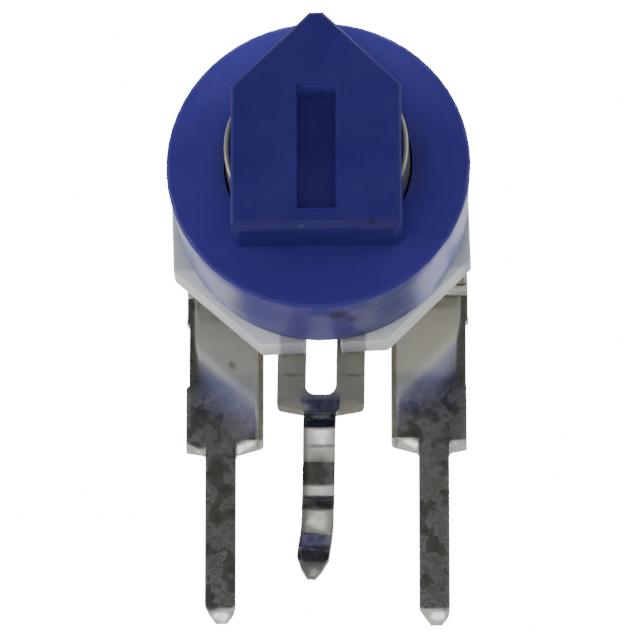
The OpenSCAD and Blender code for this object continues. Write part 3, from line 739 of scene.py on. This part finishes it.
# %% Finish: the other metals and films
def metal_finish(name, colour, stained, rough, lines_scale):
    material, tree, shader, place = new_finish(name, colour, rough, 1.0)
    tone = use(tree, patch_group, place, scale=1300.0, low=0.45, high=0.75,
               color=colour, patch_color=stained)
    wire(tree, tone["Color"], shader.inputs["Base Color"])
    uneven = soft_step(tree, tone["Mask"], 0.0, 1.0, rough, rough + 0.15)
    wire(tree, uneven, shader.inputs["Roughness"])
    rolled = use(tree, line_group, place, scale=1.0, stretch=Vector(lines_scale))
    rough_skin(tree, shader, rolled["Height"], 0.003)
    return material


def film_finish(name, colour, other, rough, metal=0.0):
    material, tree, shader, place = new_finish(name, colour, rough, metal)
    tone = use(tree, patch_group, place, scale=2500.0, low=0.4, high=0.7,
               color=colour, patch_color=other)
    wire(tree, tone["Color"], shader.inputs["Base Color"])
    rough_skin(tree, shader, noise(tree, place, 12000.0, 3, 0.6), 0.004)
    return material


finishes = {
    "blue_moulding": blue,
    "alumina": ceramic,
    "tinned_sheet": tin,
    "nickel_silver": metal_finish("nickel_silver", (0.25, 0.25, 0.24), (0.16, 0.155, 0.14), 0.42,
                                  (900, 9000, 9000)),
    "spring_bronze": metal_finish("spring_bronze", (0.62, 0.42, 0.2), (0.4, 0.27, 0.14), 0.25,
                                  (9000, 900, 900)),
    "solder": metal_finish("solder", (0.7, 0.7, 0.7), (0.5, 0.5, 0.52), 0.22, (3000, 3000, 3000)),
    "black_film": film_finish("black_film", (0.012, 0.012, 0.014), (0.03, 0.03, 0.033), 0.45),
    "silver_film": film_finish("silver_film", (0.5, 0.5, 0.47), (0.36, 0.36, 0.34), 0.5, 0.8),
}
print("finishes:", list(finishes))

# %% [markdown]
# Each solid's slot in the record says which finish it takes. The floor gets a plain pale one.

# %% Dress the solids
slots = {part["node"]: part["material_slot"] for part in frame["record"]["subparts"]}
for name, solid in frame["nodes"].items():
    solid.material_slots[0].material = finishes[slots[name]]
pale = new_finish("pale_floor", (0.9, 0.9, 0.9), 0.8)[0]
floor.data.materials.append(pale)
print("dressed", len(slots), "solids")


# %% [markdown]
# ## Soft edges
# No real edge is perfectly sharp, and a narrow bevel catches the light along it. A bevel in the
# CAD model would make it heavy, and a bevel node in the finish would change the shading and not
# the outline. So a copy of each visible solid is joined up into clean faces, gets the bevel in its
# mesh, and stands for the solid it came from. The wiper terminal has very short faces at its
# bends, where a bevel leaves shards. So its points below a height of 0.9 mm are welded over a
# wider distance first, and its faces are joined more freely.

# %% Round the edges of the visible solids
SAME_POINT_MM, EVERYWHERE_MM = 0.0001, 99
BEVEL_ABOVE, SMOOTH_BELOW = radians(38), radians(32)
FLAT_FACE_WEIGHT = 90


def softened(node, width_mm, weld_mm=SAME_POINT_MM, weld_below_mm=EVERYWHERE_MM, flat_within=0.6):
    clear_selection()
    source = frame["nodes"][node]
    piece = bpy.data.objects.new(node + "_soft", source.data.copy())
    bpy.context.collection.objects.link(piece)
    piece.select_set(True)
    bpy.context.view_layer.objects.active = piece
    bpy.ops.object.mode_set(mode="EDIT")
    bpy.ops.mesh.select_all(action="SELECT")
    bpy.ops.mesh.remove_doubles(threshold=SAME_POINT_MM * MM)
    bpy.ops.mesh.select_all(action="DESELECT")
    bpy.ops.object.mode_set(mode="OBJECT")
    welded = [vertex.co.z < weld_below_mm * MM for vertex in piece.data.vertices]
    piece.data.vertices.foreach_set("select", welded)
    bpy.ops.object.mode_set(mode="EDIT")
    bpy.ops.mesh.remove_doubles(threshold=weld_mm * MM)
    bpy.ops.mesh.select_all(action="SELECT")
    bpy.ops.mesh.dissolve_limited(angle_limit=radians(flat_within))
    bpy.ops.object.mode_set(mode="OBJECT")
    edge = piece.modifiers.new("soft_edge", "BEVEL")
    edge.width = width_mm * MM
    edge.segments = 2
    edge.limit_method = "ANGLE"
    edge.angle_limit = BEVEL_ABOVE
    edge.use_clamp_overlap = True
    bpy.ops.object.modifier_apply(modifier=edge.name)
    bpy.ops.object.shade_smooth_by_angle(angle=SMOOTH_BELOW)
    flat = piece.modifiers.new("flat_faces", "WEIGHTED_NORMAL")
    flat.weight = FLAT_FACE_WEIGHT
    flat.keep_sharp = True
    bpy.ops.object.modifier_apply(modifier=flat.name)
    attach(piece, source["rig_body"])
    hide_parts(node)
    print(piece.name, "faces:", len(piece.data.polygons))


softened("rotor_knob", 0.035)
softened("ceramic_plate", 0.04)
softened("left_terminal", 0.04)
softened("right_terminal", 0.04)
softened("wiper_terminal", 0.03, weld_mm=0.014, weld_below_mm=0.9, flat_within=3)


# %% [markdown]
# ## Check the size
# The dressed part has to keep the size of the imported one, so both boxes are measured and the
# largest difference between them is printed.

# %% Measure both boxes and print the change
low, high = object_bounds()
print("largest change in mm:", round(max(max(abs(v) for v in low - cad_low),
                                         max(abs(v) for v in high - cad_high)) / MM, 3))
